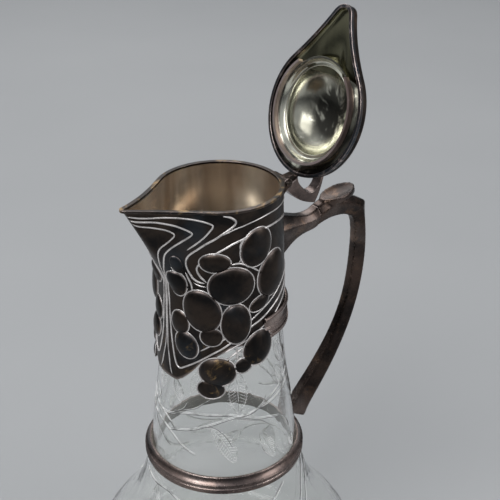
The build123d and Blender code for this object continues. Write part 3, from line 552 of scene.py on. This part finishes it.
# whiplash lines, ribbon edges and stems: angle from the handle and drop
LINES = [
    (0.50, [
        (180.6, 2.4), (182.3, 2.6), (184.4, 3.4), (188.3, 3.7), (194.1, 3.5), (201.2, 3.6),
        (208.4, 4.0), (216.6, 4.7), (224.5, 5.7), (230.0, 7.0), (230.4, 8.3), (227.5, 10.8),
        (223.0, 14.1), (217.5, 17.3), (210.2, 21.0), (207.3, 22.5)
    ]),
    (0.55, [
        (180.9, 4.6), (182.9, 5.6), (185.5, 6.0), (189.9, 6.3), (194.7, 7.2), (200.5, 8.4),
        (206.3, 10.1), (211.8, 11.9), (212.6, 12.9), (210.3, 14.5), (203.6, 17.7), (197.5, 20.9),
        (193.5, 23.7), (191.3, 26.2), (190.0, 29.4), (188.8, 32.7), (186.4, 37.0), (184.4, 41.5),
        (183.6, 47.0), (184.6, 58.6), (185.4, 68.0), (186.8, 77.1), (189.6, 85.9), (191.9, 91.0),
        (194.5, 94.3), (198.0, 95.1), (203.8, 92.9), (213.4, 88.9), (227.0, 83.0), (237.0, 79.1),
        (252.6, 72.3), (262.9, 68.2), (273.4, 65.6), (287.1, 61.6), (303.2, 57.6), (318.0, 54.0),
        (330.0, 51.5)
    ]),
    (0.45, [
        (180.9, 7.1), (183.5, 8.7), (187.1, 9.4), (190.9, 10.2), (194.7, 11.1), (198.2, 12.6),
        (199.3, 14.0), (197.8, 15.7), (193.8, 18.8), (190.2, 21.4), (188.3, 23.7), (187.1, 26.5),
        (186.0, 30.0), (184.4, 34.0), (182.6, 39.0), (181.4, 44.5), (180.9, 50.4), (180.8, 60.0),
        (180.9, 74.4), (181.6, 83.9), (184.3, 92.2), (186.4, 98.0), (188.6, 101.6)
    ]),
    (0.42, [
        (216.9, 81.7), (225.1, 78.4), (233.8, 75.4), (252.8, 68.1), (263.0, 64.3), (271.0, 61.3),
        (284.0, 57.3), (296.5, 53.5), (307.8, 50.3), (321.2, 47.3), (332.0, 45.2)
    ]),
    (0.40, [
        (236.0, 82.6), (246.9, 78.9), (256.7, 76.2), (263.4, 74.0), (270.6, 71.8), (283.7, 68.3),
        (300.0, 63.8), (316.0, 60.0), (330.0, 57.2)
    ]),
    (0.60, [
        (239.3, 2.2), (245.1, 3.0), (249.2, 4.7), (250.2, 5.9), (249.0, 7.5), (243.8, 9.9),
        (237.4, 12.5), (232.0, 14.9), (224.0, 17.9), (216.1, 21.7), (210.0, 24.7), (206.8, 27.5),
        (206.0, 30.5), (207.0, 33.4), (209.7, 36.5), (212.5, 38.6), (217.1, 40.0), (222.7, 40.5)
    ]),
    (0.35, [
        (234.8, 13.5), (249.2, 9.9), (256.5, 8.8), (264.1, 7.7), (278.9, 6.4), (292.0, 6.2),
        (310.0, 6.4), (330.0, 7.0)
    ]),
    (0.60, [
        (318.0, 14.8), (306.4, 13.9), (293.9, 13.4), (282.7, 13.3), (273.0, 13.6), (265.2, 14.2),
        (255.7, 16.1), (247.9, 17.8), (240.3, 20.3), (231.8, 23.3), (224.2, 26.4), (218.0, 29.7),
        (215.7, 32.1), (216.2, 34.3), (218.9, 36.9), (222.2, 38.8), (224.3, 40.2)
    ]),
    (0.50, [
        (265.2, 14.2), (260.3, 15.5), (256.2, 16.9), (254.0, 18.7), (253.7, 21.2), (255.3, 23.9),
        (257.7, 25.6)
    ]),
    (0.55, [
        (244.9, 29.8), (252.0, 29.4), (258.7, 31.1), (264.7, 33.5), (272.3, 37.1)
    ]),
    (0.45, [
        (252.0, 29.0), (254.8, 27.0), (258.3, 26.0)
    ]),
    (0.55, [
        (205.2, 35.8), (207.7, 39.3), (210.0, 41.9), (210.8, 44.7), (211.0, 46.9)
    ]),
    (0.50, [
        (193.9, 33.3), (196.7, 35.8), (200.0, 39.0), (203.5, 41.7), (206.9, 43.8)
    ]),
    (0.40, [
        (212.5, 41.0), (218.0, 42.2), (224.0, 42.6)
    ]),
    (0.55, [
        (249.0, 76.0), (248.8, 81.2), (249.4, 86.0), (251.0, 89.0)
    ]),
    (0.50, [
        (256.6, 79.3), (248.8, 82.2), (243.4, 84.5), (238.0, 88.0)
    ]),
    (0.35, [
        (253.0, 82.0), (249.0, 84.6), (244.6, 87.4)
    ]),
]
HANGING_DROP = 80.0         # grapes lower than this hang over the glass
STEM_BALLS = [
    (258.4, 25.6, 0.9), (273.0, 37.4, 1.0), (211.0, 47.6, 1.0), (207.4, 44.2, 0.8),
    (257.0, 79.0, 1.0), (245.0, 29.8, 0.8), (241.0, 86.4, 0.8),
]


def mount_low(x):
    """Drop of the mount's lower edge at a distance along the spout's axis."""
    places = [0.45 * MOUNT_RADIUS, 0.82 * MOUNT_RADIUS, MOUNT_RADIUS]
    return np.interp(-x, places, [BACK_DROP, SIDE_DROP, FRONT_DROP])


def mount_high(x):
    """Drop of the mount's upper edge, just under the rim's wire."""
    past = np.clip((-x - LIFT_START) / (SPOUT_REACH + 4.0 - LIFT_START), 0, 1)
    return RIM_WIRE - SPOUT_LIFT * past ** 2


def add_mount(material):
    """The cast mount: a closed skin with its spout, level edge and front tongue."""
    rows, build = 150, Build()
    spout = [spout_outline(t) for t in np.linspace(0, 1, 41)]
    share = np.linspace(0, 1, rows + 1)[:, None]
    rim = spout[0]
    round_foot = np.degrees(np.arctan2(spout[-1][:, 1], spout[-1][:, 0]))
    high = mount_high(rim[:, 0])
    low = mount_low(course_radius(BACK_DROP) * np.cos(np.radians(round_foot)))
    drop = high + (low - high) * share
    t = np.clip((drop + SPOUT_LIFT) / (SPOUT_LIFT + SPOUT_DEPTH), 0, 1)
    stack = np.array(spout)
    place = t * (len(spout) - 1)
    i = np.minimum(place.astype(int), len(spout) - 2)
    f = (place - i)[..., None]
    column = np.arange(len(rim))[None, :]
    flat = stack[i, column] * (1 - f) + stack[i + 1, column] * f
    below = (drop > SPOUT_DEPTH)[..., None]
    r = course_radius(np.maximum(drop, SPOUT_DEPTH))[..., None]
    round_part = r * np.stack([np.cos(np.radians(round_foot)), np.sin(np.radians(round_foot))], -1)
    flat = np.where(below, round_part, flat)
    outer = np.concatenate([flat, (RIM - drop)[..., None]], -1)
    normal = np.cross(np.gradient(outer, axis=0), np.roll(outer, -1, 1) - np.roll(outer, 1, 1))
    normal /= np.linalg.norm(normal, axis=-1, keepdims=True)
    inner = outer - normal * SKIN
    inner[..., 2] = outer[..., 2]
    sheet = np.concatenate([outer, inner[::-1]])
    edge = np.clip(1 - np.abs(share - 1) * 60, 0, 1)
    wear = np.concatenate([np.broadcast_to(edge, drop.shape), np.zeros(drop.shape)])
    index = build.grid(sheet, wear, round_about=True)
    top, end = index[0], index[-1]
    build.faces += np.stack([end, np.roll(end, -1), np.roll(top, -1), top], -1).tolist()
    mount = build.mesh("mount_cast", "jug", material, "mount_metal")
    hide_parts("neck_mount")
    return mount


def add_relief(grape_metal, rib_metal):
    grapes, ribs = Build(), Build()
    for side in (1, -1):
        for grape in GRAPES + [BUD]:
            add_grape(grapes, *grape, side)
    for radius, course in LINES:
        add_rib(ribs, course, radius)
    for angle, drop, half_length, half_width, tilt, rise in GRAPES:
        turn = np.linspace(0, 2 * pi, 25)
        lean = radians(tilt)
        u, v = (half_length + OUTLINE_GAP) * np.cos(turn), (half_width + OUTLINE_GAP) * np.sin(turn)
        around = zip(angle + (u * cos(lean) - v * sin(lean)) * DEGREES_PER_MM,
                     drop - u * sin(lean) - v * cos(lean))
        lift = OUTLINE_LIFT if drop > HANGING_DROP else 0.0
        add_rib(ribs, list(around), OUTLINE_WIRE, lift, closed=True, sides=6)
    for angle, drop, size in STEM_BALLS:
        for side in (1, -1):
            add_grape(grapes, angle, drop, size, size, 0, 1.3 * size, side)
    grapes.mesh("grape_relief", "jug", grape_metal, "mount_metal")
    ribs.mesh("rib_relief", "jug", rib_metal, "mount_metal")


# ---------------------------------------------------------------- engraving on the glass
# angle from the handle and height above the table
STEMS = [
    [(161.5, 145.3), (172.5, 144.0), (184.5, 144.6), (201.5, 149.0), (214.2, 150.7),
     (225.8, 151.2), (238.8, 151.4), (250.0, 149.8), (264.7, 146.2), (276.9, 143.9), (288.8, 140.8)],
    [(184.5, 134.2), (194.7, 137.0), (207.8, 140.0), (218.4, 143.1), (231.4, 146.7),
     (242.4, 149.2), (252.9, 150.1), (261.0, 150.5), (271.2, 153.6), (282.0, 156.1),
     (296.7, 159.5), (312.8, 163.5)],
    [(245.0, 149.0), (255.8, 150.0), (266.5, 152.0), (278.5, 152.8), (292.2, 154.5), (314.4, 158.0)],
    [(150.0, 150.5), (161.2, 145.9), (179.0, 143.0), (190.2, 139.2), (195.0, 136.5)],
    [(148.0, 143.0), (161.3, 138.9), (178.6, 136.8), (189.6, 133.8), (204.0, 127.5), (214.0, 124.8)],
]
TENDRILS = [
    [(204.5, 156.5), (201.3, 152.0), (194.3, 148.4), (185.2, 144.5)],
    [(225.9, 160.8), (218.1, 157.0), (213.1, 154.3), (209.0, 153.0), (200.0, 150.2)],
    [(275.5, 158.7), (273.2, 155.6), (269.5, 153.1)],
    [(216.0, 142.5), (226.8, 143.2), (234.0, 140.3), (239.2, 135.5), (242.5, 130.5)],
    [(246.1, 148.2), (255.5, 146.4), (267.4, 143.6), (275.0, 139.5)],
    [(289.0, 140.8), (296.0, 136.0), (300.0, 130.0), (301.0, 125.0)],
    [(166.0, 146.0), (170.0, 150.0), (171.0, 155.0)],
    [(163.0, 137.0), (170.0, 131.5), (180.0, 127.0), (190.0, 124.0)],
]
# angle and height of the stalk's end, length, half width, direction from level, bend
LEAVES = [
    (247.5, 179.0, 27.0, 6.5, -84, -8), (292.0, 188.0, 21.0, 4.6, -72, 14),
    (226.0, 142.6, 25.0, 5.6, -42, -34), (266.0, 136.5, 21.0, 4.8, -60, -10),
    (190.0, 168.5, 14.0, 4.4, -72, 6), (291.0, 172.0, 17.0, 4.8, -68, 12),
    (171.0, 155.5, 15.0, 4.2, 78, 16), (301.0, 125.0, 11.0, 3.6, -82, 10),
]
# on the belly, below the collar
BELLY_STEMS = [
    [(160.0, 97.0), (176.7, 95.6), (191.0, 96.4), (201.2, 93.8), (214.9, 90.0), (226.8, 84.0),
     (236.0, 76.0)],
    [(318.0, 100.5), (308.0, 92.7), (302.6, 86.7), (296.0, 80.0), (286.0, 72.0), (274.0, 66.0)],
    [(326.0, 97.0), (315.0, 88.0), (305.0, 80.0), (298.1, 72.0), (292.0, 62.0)],
    [(284.0, 99.2), (279.1, 96.2), (272.7, 92.2), (262.0, 88.0), (250.0, 86.0)],
]
BELLY_LEAVES = [
    (236.0, 76.0, 26.0, 7.0, -52, -16), (274.0, 66.0, 24.0, 6.4, -64, 12),
    (250.0, 86.0, 22.0, 6.0, -30, 18), (205.0, 92.0, 22.0, 5.6, -72, 10),
    (180.0, 95.0, 20.0, 5.2, -86, -10), (292.0, 62.0, 20.0, 5.4, -78, -10),
]
REPEATS = (0, 168)
# STEM_SHADE is how far the painted-shade strokes sit from the stems and tendrils
STEM_WIDTH, STEM_LINE, FINE_LINE, STEM_SHADE = 0.42, 0.17, 0.15, 0.32


def glass_profile():
    """Heights and radii of the glass's outside, in mm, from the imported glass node."""
    data = nodes["glass_body"].data
    spots = np.empty(len(data.vertices) * 3, np.float32)
    data.vertices.foreach_get("co", spots)
    spots = spots.reshape(-1, 3) / MM
    radius, height = np.hypot(spots[:, 0], spots[:, 1]), spots[:, 2]
    steps = np.arange(24.0, 222.0, 1.5)
    kept = [(h, radius[np.abs(height - h) < 1.2].max()) for h in steps if (np.abs(height - h) < 1.2).any()]
    return np.array(kept).T


HEIGHTS, RADII = glass_profile()


def on_glass(angle, height, lift=0.0):
    radius, a = np.interp(height, HEIGHTS, RADII) + lift, np.radians(angle)
    return np.stack([radius * np.cos(a), radius * np.sin(a), height], -1)


def glass_normal(angle, height):
    a = np.radians(angle)
    slope = np.interp(height + 1.5, HEIGHTS, RADII) - np.interp(height - 1.5, HEIGHTS, RADII)
    normal = np.stack([np.cos(a), np.sin(a), -slope / 3], -1)
    return normal / np.linalg.norm(normal, axis=-1, keepdims=True)


def add_stroke(build, course, radius, sides=4, turn=0.0, taper=2.5, step=1.2, shift=0.0):
    """A ground stroke on the glass. The course is angles and heights."""
    mid = np.interp(np.mean([h for _, h in course]), HEIGHTS, RADII)
    per_mm = degrees(1 / mid)
    line = smooth_course([(a / per_mm, h) for a, h in course], step)
    if shift:
        run = np.gradient(line, axis=0)
        run /= np.linalg.norm(run, axis=1, keepdims=True)
        line = line + shift * np.stack([-run[:, 1], run[:, 0]], 1)
    angle, height = line[:, 0] * per_mm + turn, line[:, 1]
    sweep(build, on_glass(angle, height), glass_normal(angle, height), radius, taper, sides)


def add_leaf(build, angle, height, length, half_width, lean, bend, turn):
    """A serrated leaf: a midrib, hatched on both sides, and its toothed edge."""
    per_mm = degrees(1 / np.interp(height, HEIGHTS, RADII))
    share = np.linspace(0, 1, 15)
    way = np.radians(lean + bend * share)
    run = np.stack([np.cos(way), np.sin(way)], 1) * length / (len(share) - 1)
    rib = np.cumsum(run, 0) - run[0]

    def places(spots):
        return [(angle + u * per_mm, height + v) for u, v in spots]

    add_stroke(build, places(rib), STEM_LINE * 0.8, 4, turn, 4.0)
    for side in (1, -1):
        edge = []
        for i in range(1, len(share) - 1):
            width = half_width * sin(pi * share[i] ** 0.8) ** 0.8
            a = way[i] + side * radians(58)
            tip = rib[i] + width * np.array([cos(a), sin(a)])
            notch = rib[i] + 0.78 * width * np.array([cos(a), sin(a)]) + 0.5 * run[i]
            edge += [tip, notch]
            start = rib[i] + 0.12 * (tip - rib[i])
            vein = places([start, 0.5 * (start + tip) + 0.06 * run[i], tip])
            add_stroke(build, vein, FINE_LINE, 3, turn, 1.0, 2.0)
        add_stroke(build, places([rib[0]] + edge + [rib[-1]]), FINE_LINE, 3, turn, 1.0, 1.0)


def add_engraving(material, painted_shade_material):
    """Crossing stems with leaves, ground into the glass all round, with dark strokes of painted shade beside
    the stems and tendrils.
    """
    build, shade = Build(), Build()
    for turn in REPEATS:
        for course in STEMS + BELLY_STEMS:
            for shift in (STEM_WIDTH, -STEM_WIDTH):
                add_stroke(build, course, STEM_LINE, 4, turn, 3.0, 1.5, shift)
            # painted shade: a dark stroke beside each stem stands for the shaded side of the cut
            add_stroke(shade, course, STEM_LINE, 4, turn, 3.0, 1.5, -STEM_WIDTH - STEM_SHADE)
        for course in TENDRILS:
            add_stroke(build, course, STEM_LINE, 4, turn, 4.0, 1.5)
            add_stroke(shade, course, STEM_LINE, 4, turn, 4.0, 1.5, STEM_SHADE)
        for leaf in LEAVES + BELLY_LEAVES:
            add_leaf(build, *leaf, turn)
    build.mesh("engraving", "jug", material, "glass")
    shade.mesh("engraving_painted_shade", "jug", painted_shade_material, "glass")


def ground_glass(name, dark, pale):
    """Matt strokes of ground glass, broken between a dark and a pale shade."""
    n = Nodes(name)
    colour = n.mix(n.band(n.noise(160, 4), 0.36, 0.52), dark, pale)
    shader = n.add("ShaderNodeBsdfPrincipled", Roughness=0.45, Alpha=0.85)
    n.feed(shader.inputs["Base Color"], colour)
    n.feed(shader.inputs["Normal"], n.bump(n.noise(900, 4), 0.3, 0.05 * MM))
    return n.finish(shader.outputs[0])


# ---------------------------------------------------------------- castings with soft edges, millimetres
def soften(node, name, material, voxel, rounds, bend=None):
    """A copy of a CAD casting with its edges rubbed round; bend then moves its points."""
    source = nodes[node].data
    data = source.copy()
    piece = bpy.data.objects.new(name, data)
    scene.collection.objects.link(piece)
    data.materials.clear()
    data.materials.append(material)
    remesh = piece.modifiers.new("even", "REMESH")
    remesh.mode, remesh.voxel_size = "VOXEL", voxel * MM
    smooth = piece.modifiers.new("rub", "SMOOTH")
    smooth.factor, smooth.iterations = 0.5, rounds
    ready = piece.evaluated_get(bpy.context.evaluated_depsgraph_get())
    piece.data = bpy.data.meshes.new_from_object(ready)
    piece.modifiers.clear()
    if bend:
        spots = np.empty(len(piece.data.vertices) * 3, np.float32)
        piece.data.vertices.foreach_get("co", spots)
        piece.data.vertices.foreach_set("co", bend(spots.reshape(-1, 3) / MM).ravel() * MM)
    piece.data.polygons.foreach_set("use_smooth", [True] * len(piece.data.polygons))
    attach(piece, "jug")
    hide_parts(node)
    return piece


PAD_OUT, PAD_DROP, PAD_SLOPE, PAD_LENGTH, PAD_WIDTH, PAD_DISH = 81.4, 24.9, 11.0, 11.7, 7.6, 1.3


def dish_pad(spots):
    """The thumb rest's top is hollowed."""
    a = radians(PAD_SLOPE)
    x, z = spots[:, 0] - PAD_OUT, spots[:, 2] - (RIM - PAD_DROP)
    along, up = x * cos(a) + z * sin(a), z * cos(a) - x * sin(a)
    near = 1 - (along / PAD_LENGTH) ** 2 - (spots[:, 1] / PAD_WIDTH) ** 2
    low = PAD_DISH * np.clip(near, 0, 1) ** 0.7 * np.clip((up + 1.2) / 0.8, 0, 1)
    return spots - low[:, None] * np.array([-sin(a), 0, cos(a)])


# ---------------------------------------------------------------- the lid's inside
# millimetres, drawn with the lid shut; heights are above the lid's underside
HINGE_X, HINGE_Z, OPEN_ANGLE = 41.0, 264.2, 109.0
LID_BOTTOM = 272.3
LID_RADIUS, LID_SHIFT, LID_REACH, LID_TIP, LID_LIFT, LID_BEAD = 36.9, 0.15, 58.6, 7.7, 3.8, 1.8
LID_SHOULDER, LID_NOSE = 48.7, 64.0
RIDGE_SINK, RIDGE_HIGH, RIDGE_LOW, LID_DEEP, DOME_RADIUS = 8.0, 7.8, 3.0, 4.0, 28.5
BOWL_RADIUS, BOWL_FOOT, BOWL_HEIGHT, DISH_SHEET = 24.2, 3.4, 14.4, 0.4
# radius and height: flat flange, hollow channel, proud ring
DISH_COURSE = [
    (29.0, 0.5), (28.5, 0.62), (28.0, 1.2), (27.4, 2.2), (26.7, 3.1), (26.0, 3.5), (25.4, 3.4),
    (25.0, 3.0), (24.7, 2.9), (24.4, 3.1), (24.25, 3.6),
]
FLANGE_RADIUS, FLANGE_GAP, FLANGE_FADE = 34.7, 37.0, 19.0
# radius where the dish's painted dark reflection starts, and how far it takes to grow in towards the middle
DISH_REFLECTION_RADIUS, DISH_REFLECTION_FADE = 22.0, 9.0


def opened(points):
    """Points of the shut lid, turned open about the hinge."""
    a = radians(OPEN_ANGLE)
    x, z = points[..., 0] - HINGE_X, points[..., 2] - HINGE_Z
    turned_x, turned_z = HINGE_X + x * cos(a) + z * sin(a), HINGE_Z - x * sin(a) + z * cos(a)
    return np.stack([turned_x, points[..., 1], turned_z], -1)


def add_dish(material):
    """The bright dish in the lid: flange, channel, proud ring and a smooth bowl."""
    turn = np.linspace(0, 2 * pi, 180, endpoint=False)
    course = smooth_course(DISH_COURSE, 0.25)
    share = np.linspace(0, pi / 2, 46)[1:-1]
    bowl = np.stack([BOWL_RADIUS * np.cos(share), BOWL_FOOT + BOWL_HEIGHT * np.sin(share)], 1)
    bowl = bowl[bowl[:, 1] > course[-1, 1] + 0.1]
    line = np.concatenate([course, bowl, [[0.4, BOWL_FOOT + BOWL_HEIGHT]]])
    past = np.clip((np.abs(np.degrees(turn) - 180) - FLANGE_GAP) / FLANGE_FADE, 0, 1)
    narrow = DISH_COURSE[0][0] + 0.2
    reach = narrow + (FLANGE_RADIUS - narrow) * past * past * (3 - 2 * past)
    radius = np.concatenate([reach[None], np.broadcast_to(line[:, :1], (len(line), len(turn)))])
    height = np.concatenate([[line[0, 1]], line[:, 1]])[:, None] * np.ones(len(turn))
    low = np.stack([radius * np.cos(turn), radius * np.sin(turn), LID_BOTTOM + height], -1)
    high = low + [0, 0, DISH_SHEET]
    # painted reflection: the flange and the bowl's middle are darkened to stand for the dark room that the
    # mirror would show
    dark_reflection = np.where(height < 1.0, 0.85, 0.95 * np.clip((DISH_REFLECTION_RADIUS - radius) / DISH_REFLECTION_FADE, 0, 1))
    build = Build()
    index = build.grid(opened(np.concatenate([low, high[::-1]])), np.concatenate([dark_reflection, dark_reflection[::-1]]),
                       round_about=True)
    n = len(low)
    # both sides close on a small cap at the middle, so the strip that would join them there goes
    build.faces += [index[n - 1].tolist(), index[n][::-1].tolist()]
    del build.faces[(n - 1) * len(turn):n * len(turn)]
    outer, inner = index[-1], index[0]
    build.faces += np.stack([outer, np.roll(outer, -1), np.roll(inner, -1), inner], -1).tolist()
    dish = build.mesh("dish_bowl", "lid", material, "lining_metal")
    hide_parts("lid_lining")


def lid_half_width(x, inward):
    """Half the lid's width at a place along the beak."""
    a, b = radians(LID_SHOULDER), radians(LID_NOSE)
    radius, tip, centre = LID_RADIUS - inward, LID_TIP - inward, LID_TIP - LID_REACH
    left = np.array([LID_SHIFT - radius * cos(a), radius * sin(a)])
    left_tip = np.array([centre - tip * cos(b), tip * sin(b)])
    chord = np.linalg.norm(left_tip - left)
    flank = hermite(left, left_tip, np.array([-sin(a), -cos(a)]) * chord,
                    np.array([-sin(b), -cos(b)]) * chord, 60)
    turn = np.linspace(b, 0, 20)
    nose = np.stack([centre - tip * np.cos(turn), tip * np.sin(turn)], 1)
    turn = np.linspace(pi / 2, pi - a, 30)
    back = np.stack([LID_SHIFT + radius * np.cos(turn), radius * np.sin(turn)], 1)
    edge = np.concatenate([back[:-1], flank[:-1], nose])
    return np.interp(-x, -edge[:, 0], edge[:, 1])


HOLLOW_BLEND, HOLLOW_CLEAR, HOLLOW_EDGE, HOLLOW_RISE, HOLLOW_SHEET = 0.9, 0.3, 0.6, 9.0, 0.25


def soft_least(a, b, blend=HOLLOW_BLEND):
    return -blend * np.log(np.exp(-a / blend) + np.exp(-b / blend))


def add_hollow(material):
    """The smooth hollow under the beak, drawn down inside its shell."""
    x = np.linspace(-20.0, -LID_REACH + LID_BEAD + 0.25, 70)[:, None]
    side = np.sin(np.linspace(-pi / 2, pi / 2, 49))[None, :]
    wide = lid_half_width(x, LID_BEAD - 0.1)
    y = side * wide
    past = np.clip((-x - LIFT_START) / (SPOUT_REACH + 4.0 - LIFT_START), 0, 1)
    lift = LID_LIFT * past ** 2
    tall = RIDGE_SINK + np.interp(-x, [DOME_RADIUS, LID_REACH - LID_TIP], [RIDGE_HIGH, RIDGE_LOW])
    ridge = np.sqrt(np.clip(tall ** 2 - y ** 2, 0.01, None)) - RIDGE_SINK
    shell = -soft_least(-ridge, -(LID_DEEP + lift) * np.ones_like(y)) - HOLLOW_BLEND * np.log(2)
    shell = shell - HOLLOW_CLEAR
    swell = np.clip(1 - side ** 2, 0, 1) ** 0.7 * np.clip((wide - 0.5) / 4.0, 0.1, 1)
    rise = HOLLOW_EDGE + lift + HOLLOW_RISE * swell
    height = soft_least(shell, rise)
    low = np.stack([x * np.ones_like(y), y, LID_BOTTOM + height], -1)
    loop = np.concatenate([low, (low + [0, 0, HOLLOW_SHEET])[:, ::-1]], 1)
    build = Build()
    build.grid(opened(loop), 0.0, round_about=True, caps=True)
    build.mesh("beak_hollow", "lid", material, "lining_metal")


add_camera()
add_stage()
add_light()

dark = cast_metal("dark_metal")
handle_metal = cast_metal("handle_metal", 1.2 * MM, 0.25, 0.6, ground=HANDLE_GROUND, sheen=0.08)
rim = cast_metal("rim_metal", 0.35 * MM, 0.15, 0.9, GILT)
band = cast_metal("band_metal", 0.8 * MM, 0.6, 0.4, (0.28, 0.20, 0.17), PINK_GROUND, sheen=0.08)
bead = cast_metal("bead_metal", 0.7 * MM, 0.9, 0.3, ground=(TARNISH_BLUE, PINK_GROUND[0]), rub_scale=260)
strap = cast_metal("strap_metal", 1.0 * MM, 0.75, 0.6, (0.34, 0.23, 0.20), PINK_GROUND, sheen=0.08)
lining = bright_metal("lining_metal", (0.86, 0.79, 0.68), (0.40, 0.285, 0.19), 0.20, 0.85, 0.85)
mirror = bright_metal("mirror_metal", (0.84, 0.83, 0.70), (0.15, 0.145, 0.115), 0.20, 0.9)
bezel = bright_metal("bezel_metal", (0.80, 0.66, 0.62), (0.40, 0.28, 0.25), 0.28, 0.8, 0.9)
hollow = bright_metal("hollow_metal", (0.26, 0.25, 0.16), (0.030, 0.029, 0.022), 0.20, 1.0)
glass = clear_glass("clear_glass")
cement = plaster("plaster")
for node in ("hinge_bracket", "hinge_pin", "lid_shell", "lid_knuckle"):
    give(node, dark)
for node in ("mount_belt", "waist_collar"):
    give(node, band)
give("lid_rim_wire", bead)
give("mouth_rim_wire", rim)
give("thumb_piece", strap)
soften("handle_grip", "grip_cast", handle_metal, 0.55, 14, dish_pad)
soften("handle_bracket", "bracket_cast", handle_metal, 0.45, 4)
give("mouth_lining", lining)
add_dish(mirror)
add_hollow(hollow)
give("lid_bezel", bezel)
give("glass_body", glass)
give("neck_cement", cement)
add_mount(relief_metal("mount_metal", 0.25, 0.55))
add_relief(relief_metal("grape_metal", 0.10, 0.75), relief_metal("rib_metal", 1.0, 0.1, 0.6, SILVER_WHITE))
give("collar_cement", cement)
# the second material is for the dark strokes of painted shade
add_engraving(ground_glass("ground_glass", (0.30, 0.30, 0.29), (1.0, 1.0, 0.99)),
              ground_glass("ground_painted_shade", (0.03, 0.03, 0.03), (0.12, 0.12, 0.12)))
